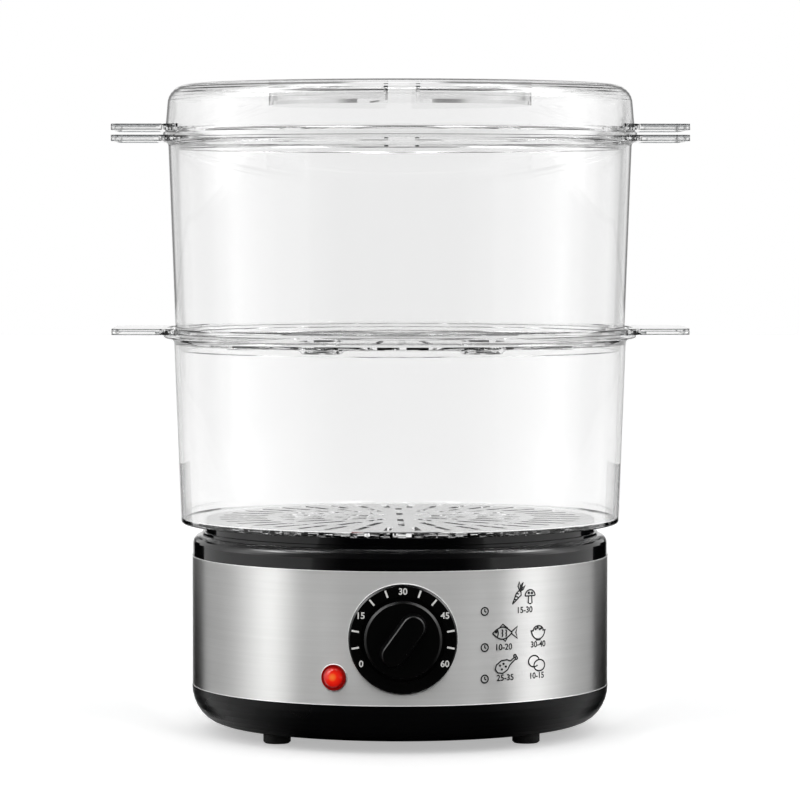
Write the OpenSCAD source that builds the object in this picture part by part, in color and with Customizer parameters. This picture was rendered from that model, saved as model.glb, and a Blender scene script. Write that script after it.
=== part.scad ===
// Two-tier electric food steamer. Millimetres, +Z up, front towards -Y.
// The origin is on the floor, in the middle of the object.

/* [Base] */
// Outer radius of the steel band
base_r = 95.6; // [92:0.2:99]
// Height of the bottom cover, from its flat underside to the band
cover_h = 17.1; // [15:0.1:20]
// Width of the rounding at the foot of the bottom cover
cover_round = 13.8; // [11:0.2:15]
// Height of the steel band
band_h = 59.4; // [57:0.2:70]
// Thickness of the steel band
band_t = 0.5; // [0.3:0.1:0.8]
// Gap at the seam at the back of the band
band_seam = 0.6; // [0.3:0.1:2]
// Height of the glossy shoulder above the band
shoulder_h = 9.6; // [8:0.2:14]
// Radius of the rounding of the shoulder
shoulder_round = 4.2; // [2:0.2:4.8]
// Wall thickness of the housing
housing_t = 2.5; // [2:0.1:3]
// Wall thickness of the bottom cover
cover_t = 2.5; // [2:0.1:3]

/* [Feet] */
// Radius of a rubber foot
foot_r = 6.2; // [5:0.1:7]
// Height of a rubber foot below the cover
foot_h = 4.6; // [3:0.2:8]
// Flat border between a foot and the rounding of the cover
foot_border = 0.7; // [0.5:0.1:4]
// Angle of the feet from the side, in degrees
foot_turn = 41.8; // [36:0.2:48]

/* [Water tank] */
// Depth of the tank below the rim of the housing
tank_depth = 50.7; // [46:0.1:54]
// Space between the housing wall and the tank wall
tank_gap = 4; // [3:0.1:5]
// Wall thickness of the tank
tank_t = 2.5; // [2:0.1:3]

/* [Drip tray] */
// Height of the tray rim above the housing
tray_rim_h = 5.3; // [4:0.1:8]
// Depth of the tray below the rim of the housing
tray_depth = 9.9; // [8:0.1:11]
// Wall thickness of the tray
tray_t = 2; // [1.6:0.1:2.4]
// Outer radius of the steam chimney in the middle of the tray
chimney_r = 18; // [14:0.5:24]
// Number of windows round the chimney
chimney_windows = 8; // [6:1:12]

/* [Steam ring] */
// Outer radius of the ring that stands round the heater
ring_r = 42; // [40:0.5:46]
// Height of the ring
ring_h = 26; // [20:1:32]
// Wall thickness of the ring
ring_t = 2; // [1.6:0.1:2.4]
// Radius of the mouth in the top of the ring
ring_mouth_r = 30; // [24:0.5:34]
// Number of water notches round the foot of the ring
ring_notches = 6; // [4:1:8]

/* [Baskets] */
// Outer radius of the lower basket at its foot
basket_r = 100.7; // [98:0.1:104]
// Draft of the clear walls, in degrees
draft = 2; // [1:0.1:2.5]
// Wall thickness of the baskets and lid
clear_t = 1.8; // [1.6:0.1:2.2]
// Thickness of the basket floors
floor_t = 2.2; // [1.8:0.1:2.8]
// Height of the lower basket, from its foot to its rim
lower_h = 89.6; // [80:0.2:110]
// Height of the upper basket above its seat in the lower one
upper_h = 92.1; // [80:0.2:110]
// Depth that the upper basket reaches into the lower one, below its seat
nest_depth = 8; // [6:0.2:10]
// Gap between nested walls
nest_gap = 0.5; // [0.4:0.1:0.8]
// Width of the step that the upper basket sits on
seat_w = 2; // [1.6:0.1:2.4]
// Distance that the lower rim stands out from its wall
lower_rim_w = 4.8; // [4:0.1:6]
// Distance that the upper rim stands out from its wall
upper_rim_w = 2.5; // [2.3:0.1:4]
// Height of a rim
rim_h = 4.7; // [4.2:0.1:6]
// Depth of the ledge inside a rim
rim_step = 2.6; // [2:0.1:3]
// Thickness of the lip round a rim
rim_t = 2; // [1.6:0.1:2.2]
// Width of a steam slot in the floors
slot_w = 3; // [2:0.1:4]
// Distance between steam slots along their ring
slot_pitch = 12; // [9:0.5:16]
// Radius where the first ring of slots starts
slot_from_r = 14; // [10:0.5:16]
// Length of the slots of the first ring
slot_len = 16; // [12:0.5:17]
// Solid floor between two rings of slots
slot_bar = 6; // [4:0.5:7]

/* [Egg cups] */
// Number of egg cups in the upper basket
cups = 6; // [5:1:7]
// Distance of the egg cups from the middle
cup_place_r = 70.8; // [66:0.2:76]
// Radius of the flat bottom of a cup
cup_bottom_r = 8.8; // [7:0.1:10]
// Radius of a cup where it leaves the floor
cup_top_r = 12; // [11:0.1:14]
// Depth of a cup below the floor
cup_depth = 2.9; // [2:0.1:3.1]

/* [Lid] */
// Height of the lid above the upper rim
lid_h = 21.6; // [18:0.2:30]
// Draft of the lid wall, in degrees
lid_draft = 5; // [2:0.5:7]
// Radius of the rounding round the top of the lid
lid_round = 9; // [6:0.5:9]
// Depth of the skirt that locates the lid in the basket
lid_skirt = 8.1; // [5:0.1:11]
// Radius of the round of finger wells
well_r = 58.5; // [50:0.5:66]
// Depth of the finger wells
well_depth = 8; // [6:0.2:9]
// Width of the bar between the finger wells
grip_w = 16; // [13:0.5:20]
// Radius of the steam vent in the bar
vent_r = 2.6; // [1.5:0.1:3.5]

/* [Ears] */
// Distance from the middle to the tip of an ear
ear_reach = 131.3; // [126:0.1:140]
// Width of an ear
ear_w = 60; // [44:1:70]
// Thickness of an ear over its turned-down edge
ear_t = 2.8; // [2.4:0.1:3.4]
// Thickness of the skin and edge of an ear
ear_skin = 1.3; // [1:0.1:1.6]
// Radius of the corners of an ear
ear_corner = 6; // [4:0.5:12]
// Radius of the fillet where an ear leaves the rim
ear_fillet = 8; // [4:0.5:12]

/* [Timer dial] */
// Height of the dial's axis above the lower edge of the band
dial_up = 29.7; // [28:0.1:31]
// Radius of the dial
dial_r = 24; // [22:0.2:25]
// Distance that the dial stands proud of the band
dial_proud = 2; // [1.6:0.1:3]
// Radius of the recess that holds the knob
dial_recess_r = 18.8; // [18.2:0.1:19.4]
// Depth of that recess
dial_recess = 1.4; // [1:0.1:1.6]
// Radius of the sleeve that passes through the band and the housing
sleeve_r = 21.2; // [20.4:0.1:21.6]
// Wall thickness of the dial
dial_t = 2.2; // [1.8:0.1:2.6]

/* [Knob] */
// Radius of the knob's skirt
knob_r = 17.1; // [15:0.1:17.8]
// Thickness of the skirt
knob_skirt = 4.4; // [3:0.1:5]
// Length of the grip bar, at its top
knob_grip_len = 25; // [20:0.5:28]
// Width of the grip bar, at its top
knob_grip_w = 10; // [8:0.1:12]
// Height of the grip bar above the skirt
knob_grip_h = 5.8; // [4:0.1:6.2]
// Extra width on each side at the foot of the grip bar
knob_grip_flare = 1; // [0.4:0.1:1.6]
// Minutes that the knob points at when the steamer stands at rest
minutes_set = 39; // [0:1:60]

/* [Timer] */
// Width and height of the timer case
case_w = 42; // [40:0.2:44]
// Depth of the timer case
case_d = 21; // [18:0.2:24]
// Wall thickness of the timer case
case_t = 1.6; // [1.2:0.1:2]
// Radius of the timer shaft
shaft_r = 3; // [2.5:0.1:3.5]
// Radius of the timer barrel
barrel_r = 15; // [12:0.5:17]
// Radius of the bell
bell_r = 15; // [12:0.5:17]
// Height of the bell
bell_h = 6; // [5:0.2:7]
// Height of the timer barrel
barrel_h = 6; // [4:0.2:7]
// Distance from the face of the timer case to the front of the barrel
barrel_back = 7; // [6:0.2:8]

/* [Indicator lamp] */
// Angle of the lamp from the front, in degrees
lamp_angle = -18.5; // [-24:0.5:-18]
// Height of the lamp above the lower edge of the band
lamp_up = 12.3; // [10:0.1:16]
// Radius of the lens
lamp_r = 4.7; // [3.8:0.1:5]
// Distance that the lens dome stands out
lamp_dome = 3; // [2:0.1:3.6]

/* [Heater] */
// Radius of the stainless heater plate
plate_r = 37; // [35:0.5:38]
// Thickness of the heater plate
plate_t = 1.4; // [1:0.1:2]
// Radius of the aluminium block under the plate
block_r = 27.5; // [26:0.1:28]
// Height of the aluminium block
block_h = 6.5; // [5:0.1:8]
// Radius of the ring that the heating tube is bent to
tube_ring_r = 20; // [19:0.1:21]
// Radius of the heating tube
tube_r = 3.2; // [2.8:0.1:3.6]
// Distance of the plate's studs from the middle
stud_place_r = 33; // [32.6:0.1:33.2]
// Radius of a stud
stud_r = 2; // [1.6:0.1:2.2]

/* [Cord inlet] */
// Radius of the bore for the cord
cord_r = 3.2; // [2.6:0.1:3.6]
// Height of the bore above the underside of the cover
cord_up = 8.9; // [8.6:0.1:9.1]
// Length of the terminal block
block_len = 32; // [28:1:40]
// Width of the terminal block
block_w = 16; // [12:0.5:18]
// Height of the terminal block
block_high = 12; // [10:0.5:13]

/* [Hidden] */

$fn = 128;
eps = 0.01;      // overcut of a hole past a face
fit = 0.05;      // running fit of the shaft in its bearing
loose = 0.3;     // clearance of parts that are put together by hand
edge = 0.5;      // small rounding of moulded edges
seat_edge = 0.2; // rounding of edges beside a seat
arc_steps = 8;   // straight pieces in a rounding

black = [0.05, 0.05, 0.055];
gloss_black = [0.03, 0.03, 0.035];
clear = [0.86, 0.9, 0.92, 0.35];
steel = [0.72, 0.72, 0.7];
zinc = [0.6, 0.61, 0.62];
rubber = [0.09, 0.09, 0.09];
ceramic = [0.92, 0.9, 0.85];

// Heights, from the floor up
cover_z = foot_h;
band_z = cover_z + cover_h;
shoulder_z = band_z + band_h;
top_z = shoulder_z + shoulder_h;
tank_z = top_z - tank_depth;
tray_z = top_z - tray_depth;
lower_z = top_z + tray_rim_h;
lower_top = lower_z + lower_h;
seat_z = lower_top - rim_step;
upper_z = seat_z - nest_depth;
upper_floor_z = upper_z + cup_depth + 0.4;
upper_top = seat_z + upper_h;
lid_top = upper_top + lid_h;

// Radii of the housing
band_gap = 0.1;
recess_r = base_r - band_t - band_gap;
wall_in_r = recess_r - housing_t;
shoulder_r = base_r - 0.3;
rim_in_r = shoulder_r - shoulder_round;
tank_r = wall_in_r - tank_gap - tank_t;
rim_under = top_z - tank_t - 2;

// Timer, counted forwards from the axis
dial_z = band_z + dial_up;
lamp_z = band_z + lamp_up;
case_gap = 1.5;
case_front = sqrt(pow(wall_in_r, 2) - pow(case_w / 2, 2)) - case_gap;
case_back = case_front - case_d;
back_t = 1.2;
dial_front = base_r + dial_proud;
recess_y = dial_front - dial_recess;
knob_back = recess_y + 0.4;
knob_front = knob_back + knob_skirt;
knob_tip = knob_front + knob_grip_h;
scale_turn = 240;   // degrees from 0 to 60 minutes
knob_angle = minutes_set * scale_turn / 60 - scale_turn / 2;

// The tank's flat front wall stands clear of the timer
timer_clear = 1.8;
tank_flat = case_back - back_t - bell_h - timer_clear - tank_t;
shelf_z = dial_z + case_w / 2 + timer_clear + tank_t;

// Round of the bottom cover, and the feet on its flat
cover_r = base_r + 0.2;
flat_r = cover_r - cover_round;
foot_place_r = flat_r - foot_border - foot_r;
foot_x = foot_place_r * cos(foot_turn);
foot_y = foot_place_r * sin(foot_turn);

// Screws of the bottom cover
screw_turn = 16;
screw_x = (flat_r - 9.2) * cos(screw_turn);
screw_y = (flat_r - 9.2) * sin(screw_turn);
screw_r = 1.45;
screw_head_r = 3.1;
screw_head_h = 2.4;
pillar_r = 5.4;
pillar_h = 8.4;
screw_len = 16;

// Heater stack, from the tank floor up and down
seal_t = 1.5;
plate_z = tank_z + seal_t;
floor_under = tank_z - tank_t;
bracket_t = 2;
bracket_z = floor_under - bracket_t;
nut_h = 3.2;
block_z = plate_z - block_h;
well_hole_r = block_r + 1;
studs = [90, 210, 330];

// Points along an arc about [x, y], from one angle to another
function arc(x, y, r, from, to, ry = 0, n = arc_steps) = [
    for (i = [0:n])
        let (a = from + (to - from) * i / n)
        [x + r * cos(a), y + (ry == 0 ? r : ry) * sin(a)]
];

// Radius of a drafted wall at a height above the place where it is r
function drafted(r, h) = r + h * tan(draft);

// Turns a shape that is drawn upwards into one that faces outwards from the axis.
// Its X then runs to the right and its Y runs up.
module outwards(angle, height) {
    translate([0, 0, height])
        rotate([90, 0, angle])
            children();
}

// Copies children to the four corners of a rectangle about the axis
module four_corners(x, y) {
    for (sx = [-1, 1], sy = [-1, 1])
        translate([sx * x, sy * y, 0])
            children();
}

// ---- Clear parts ----

// Rim points, from the outside of the wall round to its inside.
// wall_r is the outer radius of the wall at the ledge.
function rim_points(wall_r, rim_r, z, cove) = concat(
    arc(wall_r + cove, z - rim_h - cove, cove, 180, 90),
    [
        [rim_r - edge, z - rim_h],
        [rim_r, z - rim_h + edge],
        [rim_r, z - edge],
        [rim_r - edge, z],
        [rim_r - rim_t + edge, z],
        [rim_r - rim_t, z - edge],
        [rim_r - rim_t, z - rim_step],
        [wall_r - clear_t + seat_edge, z - rim_step],
        [wall_r - clear_t, z - rim_step - seat_edge]
    ]
);

// Plan of an ear that leaves a round body of radius from_r
module ear_plan(from_r, inset = 0) {
    w = ear_w - 2 * inset;
    reach = ear_reach - inset;
    corner = ear_corner - inset;
    translate([from_r - 1, -w / 2])
        square([reach - corner - from_r + 1, w]);
    translate([from_r - 1, corner - w / 2])
        square([reach - from_r + 1, w - 2 * corner]);
    for (s = [-1, 1])
        translate([reach - corner, s * (w / 2 - corner)])
            circle(corner, $fn = 48);
}

// Fillets between an ear and its round body
module ear_fillets(from_r) {
    centre_y = ear_w / 2 + ear_fillet;
    centre_x = sqrt(pow(from_r + ear_fillet, 2) - pow(centre_y, 2));
    for (s = [-1, 1])
        difference() {
            translate([from_r - 14, s > 0 ? ear_w / 2 - 1 : -centre_y])
                square([centre_x - from_r + 14, ear_fillet + 1]);
            translate([centre_x, s * centre_y])
                circle(ear_fillet, $fn = 64);
        }
}

// Two ears with a turned-down edge, whose top face is at height z
module ears(from_r, z) {
    pocket_from = from_r + ear_skin + 1.5;
    for (side = [0, 180])
        rotate(side)
            difference() {
                translate([0, 0, z - ear_t])
                    linear_extrude(ear_t)
                        difference() {
                            union() {
                                ear_plan(from_r - 6);
                                ear_fillets(from_r);
                            }
                            circle(from_r - 0.8);
                        }
                translate([0, 0, z - ear_t - eps])
                    linear_extrude(ear_t - ear_skin + eps)
                        intersection() {
                            ear_plan(pocket_from, ear_skin);
                            translate([pocket_from, -ear_w / 2])
                                square([ear_reach, ear_w]);
                        }
            }
}

// The second ring of slots reaches to the egg cups
slot_2_r = slot_from_r + slot_len + slot_bar;
slot_2_end = cup_place_r - cup_top_r - 3;

// One radial steam slot from radius r0 to r1
module slot(r0, r1, z) {
    translate([r0, -slot_w / 2, z - eps])
        cube([r1 - r0, slot_w, floor_t + 2 * eps]);
}

// A full ring of steam slots
module slot_ring(r0, r1, z) {
    n = round(PI * (r0 + r1) / slot_pitch);
    for (i = [0:n - 1])
        rotate(i * 360 / n)
            slot(r0, r1, z);
}

lower_wall_r = drafted(basket_r, lower_h - rim_step);
lower_rim_r = lower_wall_r + lower_rim_w;
lower_cove = 3;
tray_in_r = rim_in_r - 1.4 - tray_t;
locate_r = tray_in_r - nest_gap;

module lower_basket() {
    floor_top = lower_z + floor_t;
    rim_r = lower_rim_r;
    color(clear) {
        difference() {
            rotate_extrude()
                polygon(concat(
                    [[0, lower_z]],
                    arc(basket_r - 1, lower_z + 1, 1, -90, 0),
                    rim_points(lower_wall_r, rim_r, lower_top, lower_cove),
                    [[drafted(basket_r, floor_t) - clear_t, floor_top + edge]],
                    [[drafted(basket_r, floor_t) - clear_t - edge, floor_top]],
                    [[0, floor_top]]
                ));
            slot_ring(slot_from_r, slot_from_r + slot_len, lower_z);
            slot_ring(slot_2_r, slot_2_end, lower_z);
            slot_ring(slot_2_end + slot_bar, locate_r - 4, lower_z);
        }
        // Ring under the floor that locates the basket in the drip tray
        translate([0, 0, lower_z - 3])
            difference() {
                cylinder(r = locate_r, h = 3 + eps);
                translate([0, 0, -eps])
                    cylinder(r = locate_r - clear_t, h = 3 + 3 * eps);
            }
        ears(rim_r, lower_top);
    }
}

skirt_r = drafted(basket_r, lower_h - rim_step - nest_depth) - clear_t - nest_gap;
upper_foot_r = skirt_r + seat_w;
upper_wall_r = drafted(upper_foot_r, upper_h - rim_step);
upper_rim_r = upper_wall_r + upper_rim_w;
upper_cove = 1.8;

// Hollow of an egg cup, grown outwards by a wall
module cup(wall) {
    translate([cup_place_r, 0, upper_floor_z - cup_depth + (wall > 0 ? 0 : floor_t)])
        cylinder(
            r1 = cup_bottom_r - floor_t + wall,
            r2 = cup_top_r - floor_t + wall,
            h = cup_depth + eps
        );
}

module upper_basket() {
    floor_top = upper_floor_z + floor_t;
    inner_r = upper_foot_r - clear_t;
    cup_turn = 360 / cups;
    color(clear) {
        difference() {
            union() {
                rotate_extrude()
                    polygon(concat(
                        [[0, upper_floor_z], [skirt_r - clear_t, upper_floor_z]],
                        [[skirt_r - clear_t, upper_z], [skirt_r - edge, upper_z]],
                        [[skirt_r, upper_z + edge], [skirt_r, seat_z]],
                        [[upper_foot_r - seat_edge, seat_z], [upper_foot_r, seat_z + seat_edge]],
                        rim_points(upper_wall_r, upper_rim_r, upper_top, upper_cove),
                        [[inner_r, seat_z + clear_t], [skirt_r - clear_t, seat_z + clear_t - 0.4]],
                        [[skirt_r - clear_t, floor_top], [0, floor_top]]
                    ));
                for (i = [0:cups - 1])
                    rotate(i * cup_turn)
                        cup(floor_t);
            }
            for (i = [0:cups - 1])
                rotate(i * cup_turn)
                    cup(0);
            slot_ring(slot_from_r, slot_from_r + slot_len, upper_floor_z);
            slot_ring(slot_2_r, slot_2_end, upper_floor_z);
            // Slots between the cups
            for (i = [0:cups - 1], k = [-1:1])
                rotate((i + 0.5) * cup_turn + k * slot_pitch / cup_place_r * 180 / PI * 0.8)
                    slot(slot_2_end + slot_bar, upper_foot_r - clear_t - 10, upper_floor_z);
        }
        ears(upper_rim_r, upper_top - 1.7);
    }
}

lid_r = upper_rim_r - 1;
lid_wall_top = lid_top - lid_round;
lid_top_r = lid_r - (lid_h - lid_round) * tan(lid_draft);
lid_skirt_r = drafted(upper_foot_r, upper_h - lid_skirt) - clear_t - nest_gap - 0.1;

module lid() {
    t = clear_t;
    color(clear) {
        difference() {
            union() {
                rotate_extrude()
                    polygon(concat(
                        [[lid_skirt_r - t, upper_top - lid_skirt]],
                        [[lid_skirt_r - edge, upper_top - lid_skirt]],
                        [[lid_skirt_r, upper_top - lid_skirt + edge]],
                        [[lid_skirt_r, upper_top], [lid_r, upper_top]],
                        arc(lid_top_r - lid_round, lid_wall_top, lid_round, 0, 90),
                        [[0, lid_top], [0, lid_top - t]],
                        arc(lid_top_r - lid_round, lid_wall_top, lid_round - t, 90, 0),
                        [[lid_r - t - 0.2, upper_top + t], [lid_skirt_r - t, upper_top + t]]
                    ));
                // Blocks that the finger wells are cut from
                intersection() {
                    translate([0, 0, lid_top - well_depth - t])
                        cylinder(r = well_r + t, h = well_depth + t - eps);
                    for (s = [0, 180])
                        rotate(s)
                            translate([grip_w / 2 - t, -2 * well_r, 0])
                                cube([2 * well_r, 4 * well_r, 2 * lid_top]);
                }
            }
            intersection() {
                translate([0, 0, lid_top - well_depth])
                    cylinder(r = well_r, h = well_depth + 1);
                for (s = [0, 180])
                    rotate(s)
                        translate([grip_w / 2, -2 * well_r, 0])
                            cube([2 * well_r, 4 * well_r, 2 * lid_top]);
            }
            translate([0, 0, lid_top - 2 * t])
                cylinder(r = vent_r, h = 3 * t);
        }
        ears(lid_r, upper_top + 0.5 + ear_t);
    }
}

// ---- Drip tray and steam ring ----

tray_rim_r = rim_in_r - 1.4;
tray_body_r = tank_r - 0.6;

module drip_tray() {
    wall_r = tray_body_r - tray_t;
    chimney_top = lower_z - 2.6;
    color(gloss_black)
        difference() {
            rotate_extrude()
                polygon(concat(
                    [[chimney_r - tray_t, tray_z]],
                    arc(tray_body_r - 1.5, tray_z + 1.5, 1.5, -90, 0),
                    [[tray_body_r, top_z], [rim_in_r - 0.2, top_z]],
                    [[rim_in_r - 0.2, top_z + 1.2], [tray_rim_r, top_z + 1.4]],
                    [[tray_rim_r, lower_z - edge], [tray_rim_r - edge, lower_z]],
                    [[tray_in_r + edge, lower_z], [tray_in_r, lower_z - edge]],
                    [[tray_in_r, top_z + 0.9], [wall_r, top_z - 0.6]],
                    [[wall_r, tray_z + tray_t + 1], [wall_r - 1, tray_z + tray_t]],
                    [[chimney_r, tray_z + tray_t]],
                    arc(chimney_r - 2.5, chimney_top - 2.5, 2.5, 0, 90),
                    [[0, chimney_top], [0, chimney_top - tray_t]],
                    [[chimney_r - tray_t, chimney_top - tray_t]]
                ));
            // Windows that let the steam out above the juice
            for (i = [0:chimney_windows - 1])
                rotate(i * 360 / chimney_windows)
                    translate([chimney_r - 2 * tray_t, -2.5, tray_z + tray_t + 2])
                        cube([3 * tray_t, 5, chimney_top - tray_z - 2 * tray_t - 2.6]);
        }
}

module steam_ring() {
    color(black)
        difference() {
            translate([0, 0, tank_z])
                rotate_extrude()
                    polygon([
                        [ring_r - ring_t, 0],
                        [ring_r, 0],
                        [ring_r, ring_h - 2],
                        [ring_r - 2, ring_h],
                        [ring_mouth_r, ring_h],
                        [ring_mouth_r, ring_h - ring_t],
                        [ring_r - ring_t, ring_h - ring_t]
                    ]);
            for (i = [0:ring_notches - 1])
                rotate(i * 360 / ring_notches)
                    translate([ring_r - 2 * ring_t, -5, tank_z - 1])
                        cube([3 * ring_t, 10, 6]);
        }
}

// ---- Base ----

// Round shape of the tank between two heights, with a flat front up to a shelf
module tank_shape(r, flat, from, shelf, to) {
    difference() {
        translate([0, 0, from])
            cylinder(r = r, h = to - from);
        translate([-base_r, -base_r - flat, from - 1])
            cube([2 * base_r, base_r, shelf - from + 1]);
    }
}

module upper_housing() {
    color(gloss_black)
        difference() {
            union() {
                // Outer wall, shoulder and rim
                rotate_extrude()
                    polygon(concat(
                        [[wall_in_r, band_z], [recess_r, band_z]],
                        [[recess_r, shoulder_z], [shoulder_r, shoulder_z]],
                        arc(rim_in_r, top_z - shoulder_round, shoulder_round, 0, 90),
                        [[tank_r, top_z], [tank_r, rim_under], [wall_in_r, rim_under]]
                    ));
                // Pad that the timer case seats on
                intersection() {
                    cylinder(r = recess_r - 1, h = top_z);
                    outwards(0, dial_z)
                        translate([0, 0, case_front])
                            cylinder(r = sleeve_r + 3.4, h = base_r - case_front);
                }
            }
            // Openings for the dial and the lamp
            outwards(0, dial_z)
                translate([0, 0, case_front - 1])
                    cylinder(r = sleeve_r + 0.1, h = base_r - case_front + 2);
            outwards(lamp_angle, lamp_z)
                translate([0, 0, wall_in_r - 2])
                    cylinder(r = lamp_r + 0.1, h = housing_t + 4, $fn = 48);
        }
}

// Water tank, welded under the rim of the housing
module water_tank() {
    color(gloss_black)
        difference() {
            union() {
                // Wall, floor and the shelf above the timer
                tank_shape(tank_r + tank_t, tank_flat + tank_t,
                           floor_under, shelf_z - tank_t, rim_under);
                // Posts for the screws of the bottom cover
                four_corners(screw_x, screw_y)
                    translate([0, 0, cover_z + pillar_h])
                        cylinder(r = 4, h = floor_under - cover_z - pillar_h + 1, $fn = 48);
            }
            // Water space
            tank_shape(tank_r, tank_flat, tank_z, shelf_z, top_z);
            // Heater opening and its stud holes
            translate([0, 0, floor_under - 1])
                cylinder(r = well_hole_r, h = tank_t + 2);
            for (a = studs)
                rotate(a)
                    translate([stud_place_r, 0, floor_under - 1])
                        cylinder(r = stud_r + 0.2, h = tank_t + 2, $fn = 32);
            // Pilot holes of the cover screws
            four_corners(screw_x, screw_y)
                translate([0, 0, cover_z + pillar_h - eps])
                    cylinder(r = screw_r + fit, h = screw_len, $fn = 32);
        }
}

module steel_band() {
    color(steel)
        difference() {
            translate([0, 0, band_z])
                cylinder(r = base_r, h = band_h);
            translate([0, 0, band_z - 1])
                cylinder(r = base_r - band_t, h = band_h + 2);
            outwards(0, dial_z)
                cylinder(r = sleeve_r + 0.1, h = base_r + 1);
            outwards(lamp_angle, lamp_z)
                cylinder(r = lamp_r + 0.1, h = base_r + 1, $fn = 48);
            translate([-band_seam / 2, 0, band_z - 1])
                cube([band_seam, base_r + 1, band_h + 2]);
        }
}

lip_out = wall_in_r - loose;
lip_in = lip_out - 2;
lip_up = 3.3;
gland_z = cover_z + cord_up;
gland_r = cord_r + 1.8;
gland_face = base_r + 1.9;
gland_in = lip_in - 4.2;
gland_flange = 2;
gland_flange_r = gland_r + 1.2;
vents = 5;
vent_x = 34;
foot_stem_r = 2.9;
foot_head_r = 4.2;
clamp_x = 9;
clamp_y = gland_in - gland_flange - 10;
clamp_w = 8;
clamp_z = gland_z + cord_r * 0.6;
clamp_t = 3;
clamp_screw_r = 1.2;
clamp_screw_len = 5;

module bottom_cover() {
    floor_top = cover_z + cover_t;
    inner_z = band_z - 7.7;
    color(black)
        difference() {
            union() {
                rotate_extrude()
                    polygon(concat(
                        [[0, cover_z]],
                        arc(flat_r, band_z, cover_round, -90, 0, cover_h),
                        [[lip_out, band_z], [lip_out, band_z + lip_up]],
                        [[lip_in, band_z + lip_up]],
                        arc(flat_r - 2, inner_z, lip_in - flat_r + 2, 0, -90, inner_z - floor_top),
                        [[0, floor_top]]
                    ));
                four_corners(screw_x, screw_y)
                    translate([0, 0, cover_z])
                        cylinder(r = pillar_r, h = pillar_h, $fn = 48);
                // Flat-faced boss that holds the cord grommet
                outwards(180, gland_z)
                    translate([0, 0, gland_in])
                        cylinder(r = gland_r + 2.4, h = gland_face - gland_in, $fn = 64);
                // Posts of the cord clamp
                for (s = [-1, 1])
                    translate([s * clamp_x, clamp_y, cover_z + 1])
                        cylinder(r = 3, h = clamp_z - cover_z - 1, $fn = 32);
            }
            four_corners(screw_x, screw_y) {
                translate([0, 0, cover_z - 1])
                    cylinder(r = screw_r + 0.4, h = pillar_h + 2, $fn = 32);
                translate([0, 0, cover_z - 1])
                    cylinder(r = screw_head_r + 0.5, h = pillar_h - 2.5 + 1, $fn = 32);
            }
            four_corners(foot_x, foot_y)
                translate([0, 0, cover_z - 1])
                    cylinder(r = foot_stem_r + fit, h = cover_t + 2, $fn = 32);
            // Bore and seat of the cord grommet
            outwards(180, gland_z) {
                cylinder(r = gland_r + fit, h = gland_face + 1);
                translate([0, 0, gland_in - gland_flange - loose])
                    cylinder(r = gland_flange_r + loose, h = gland_flange + loose);
            }
            for (s = [-1, 1])
                translate([s * clamp_x, clamp_y, clamp_z - clamp_screw_len])
                    cylinder(r = clamp_screw_r + fit, h = clamp_screw_len + 1, $fn = 24);
            // Cooling slots in the floor
            for (s = [-1, 1], i = [0:vents - 1])
                translate([s * vent_x - 10, (i - (vents - 1) / 2) * 7 - 1.25, cover_z - 1])
                    cube([20, 2.5, cover_t + 2]);
        }
}

module rubber_feet() {
    color(rubber)
        four_corners(foot_x, foot_y) {
            rotate_extrude($fn = 64)
                polygon([
                    [0, 0],
                    [foot_r - 0.8, 0],
                    [foot_r, 0.8],
                    [foot_r, foot_h],
                    [foot_stem_r, foot_h],
                    [foot_stem_r, foot_h + cover_t],
                    [foot_head_r, foot_h + cover_t],
                    [foot_head_r - 1.2, foot_h + cover_t + 2],
                    [0, foot_h + cover_t + 2]
                ]);
        }
}

// Cross recess in a screw head, cut downwards from z = 0
module cross_recess(size) {
    for (a = [0, 90])
        rotate(a)
            translate([-size / 2, -0.4, -1.2])
                cube([size, 0.8, 1.3]);
}

module cover_screws() {
    seat = cover_z + pillar_h - 2.5;
    color(zinc)
        four_corners(screw_x, screw_y)
            difference() {
                union() {
                    translate([0, 0, seat - screw_head_h])
                        cylinder(r = screw_head_r, h = screw_head_h, $fn = 48);
                    translate([0, 0, seat - eps])
                        cylinder(r = screw_r, h = screw_len, $fn = 32);
                }
                translate([0, 0, seat - screw_head_h])
                    rotate([180, 0, 0])
                        cross_recess(3.6);
            }
}

// ---- Heater ----

module heater_plate() {
    step_r = block_r - 2;
    color(steel) {
        translate([0, 0, plate_z])
            rotate_extrude()
                polygon([
                    [0, 0],
                    [plate_r, 0],
                    [plate_r, plate_t - 0.3],
                    [plate_r - 0.3, plate_t],
                    [step_r + 1.5, plate_t],
                    [step_r, plate_t + 1.5],
                    [0, plate_t + 1.5]
                ]);
        for (a = studs)
            rotate(a)
                translate([stud_place_r, 0, bracket_z - nut_h - 1.5])
                    cylinder(r = stud_r, h = plate_z - bracket_z + nut_h + 1.5 + eps, $fn = 32);
    }
}

// Flat ring with holes for the three studs
module stud_ring(outer, inner, z, t) {
    difference() {
        translate([0, 0, z])
            cylinder(r = outer, h = t);
        translate([0, 0, z - 1])
            cylinder(r = inner, h = t + 2);
        for (a = studs)
            rotate(a)
                translate([stud_place_r, 0, z - 1])
                    cylinder(r = stud_r + 0.2, h = t + 2, $fn = 32);
    }
}

module heater_seal() {
    color([0.75, 0.3, 0.2])
        stud_ring(plate_r, well_hole_r, tank_z, seal_t);
}

module heater_bracket() {
    color(zinc)
        stud_ring(plate_r, well_hole_r, bracket_z, bracket_t);
}

module heater_nuts() {
    color(zinc)
        for (a = studs)
            rotate(a)
                translate([stud_place_r, 0, bracket_z - nut_h])
                    difference() {
                        cylinder(r = stud_r * 1.9, h = nut_h, $fn = 6);
                        translate([0, 0, -1])
                            cylinder(r = stud_r + fit, h = nut_h + 2, $fn = 32);
                    }
}

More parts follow.
